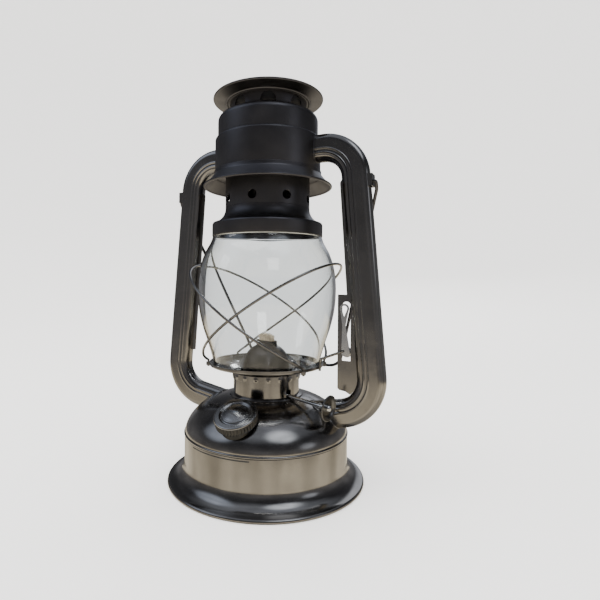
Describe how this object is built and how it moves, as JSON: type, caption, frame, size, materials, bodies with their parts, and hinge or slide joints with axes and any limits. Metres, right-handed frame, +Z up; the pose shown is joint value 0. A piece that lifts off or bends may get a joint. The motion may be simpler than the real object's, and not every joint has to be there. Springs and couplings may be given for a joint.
{
  "type": "hurricane lantern",
  "caption": "Oil lamp of the tubular hurricane kind: round tank with a filler cap, side air tubes, clear globe that lifts, sprung chimney, wick burner and a swinging bail.",
  "frame": {"origin": "centre of the foot rim, on the surface that the lantern stands on", "axes": "+Z up; +X towards the side tube that carries the lift tab and the wick knob; -Y towards the filler cap"},
  "size_m": [0.1928, 0.156, 0.3034],
  "materials": {
    "plated_steel": "black nickel plate, glossy",
    "hood_steel": "black nickel plate, darker and semi-gloss",
    "bright_steel": "bright zinc or nickel plate",
    "burner_metal": "dull, darkened by heat",
    "clear_glass": "clear, smooth",
    "cotton": "woven cotton tape",
    "seal_rubber": "matte"
  },
  "bodies": {
    "frame": {"tank_skirt": "plated_steel", "tank_seam": "plated_steel", "tank_dome": "plated_steel", "tank_bottom": "plated_steel", "font_top": "plated_steel", "filler_neck": "plated_steel", "burner_neck": "plated_steel", "burner_body": "burner_metal", "shaft_bearings": "burner_metal", "burner_collar": "plated_steel", "burner_band": "plated_steel", "air_plate": "burner_metal", "burner_cone": "burner_metal", "wick_tube": "burner_metal", "left_tube": "plated_steel", "right_tube": "plated_steel", "tube_seams": "plated_steel", "left_ear": "plated_steel", "right_ear": "plated_steel", "lift_guide": "plated_steel", "chimney_spring": "bright_steel", "air_chamber": "hood_steel", "chamber_floor": "hood_steel", "hood_can": "hood_steel", "drip_skirt": "hood_steel"},
    "seal": {"filler_gasket": "seal_rubber"},
    "cap": {"filler_cap": "bright_steel"},
    "wick_gear": {"wick_shaft": "bright_steel", "wick_knob": "bright_steel", "knob_rivet": "bright_steel"},
    "wick": {"wick": "cotton"},
    "bail": {"bail": "hood_steel"},
    "carriage": {"globe_plate": "plated_steel", "guard_wire_left": "plated_steel", "guard_wire_right": "plated_steel", "guard_clips": "plated_steel", "lift_wire": "plated_steel", "lift_tab": "bright_steel", "tab_rivet": "bright_steel", "globe": "clear_glass"},
    "chimney": {"bell_seat": "hood_steel", "chimney_bell": "hood_steel", "chimney_neck": "hood_steel", "flue_tube": "hood_steel", "spring_seat": "hood_steel", "crown_ring": "hood_steel", "chimney_brim": "hood_steel", "chimney_top": "hood_steel"}
  },
  "joints": [
    {"name": "seal_lift", "type": "slide", "parent": "frame", "child": "seal", "axis": [0.0306, -0.4373, 0.8988], "range_m": [0, 0.006]},
    {"name": "cap_turn", "type": "hinge", "parent": "seal", "child": "cap", "pos_m": [0.00387, -0.05536, 0.064], "axis": [0.0306, -0.4373, 0.8988], "range_deg": [0, 720]},
    {"name": "wick_turn", "type": "hinge", "parent": "frame", "child": "wick_gear", "pos_m": [-0.00098, -0.00424, 0.0709], "axis": [0.9707, -0.2241, -0.0872], "range_deg": [-140, 70]},
    {"name": "wick_raise", "type": "slide", "parent": "frame", "child": "wick", "axis": [0, 0, 1], "range_m": [-0.008, 0.004]},
    {"name": "bail_swing", "type": "hinge", "parent": "frame", "child": "bail", "pos_m": [0, 0, 0.23], "axis": [1, 0, 0], "range_deg": [0, 316]},
    {"name": "globe_lift", "type": "slide", "parent": "frame", "child": "carriage", "axis": [0, 0, 1], "range_m": [0, 0.01]},
    {"name": "chimney_lift", "type": "slide", "parent": "carriage", "child": "chimney", "axis": [0, 0, 1], "range_m": [0, 0.014], "stiffness_N_per_m": 150, "springref_m": -0.02, "deforming": ["chimney_spring"]}
  ],
  "couplings": [
    {"joint": "seal_lift", "follows": "cap_turn", "m_per_rad": 0.000477},
    {"joint": "wick_raise", "follows": "wick_turn", "m_per_rad": 0.003}
  ]
}
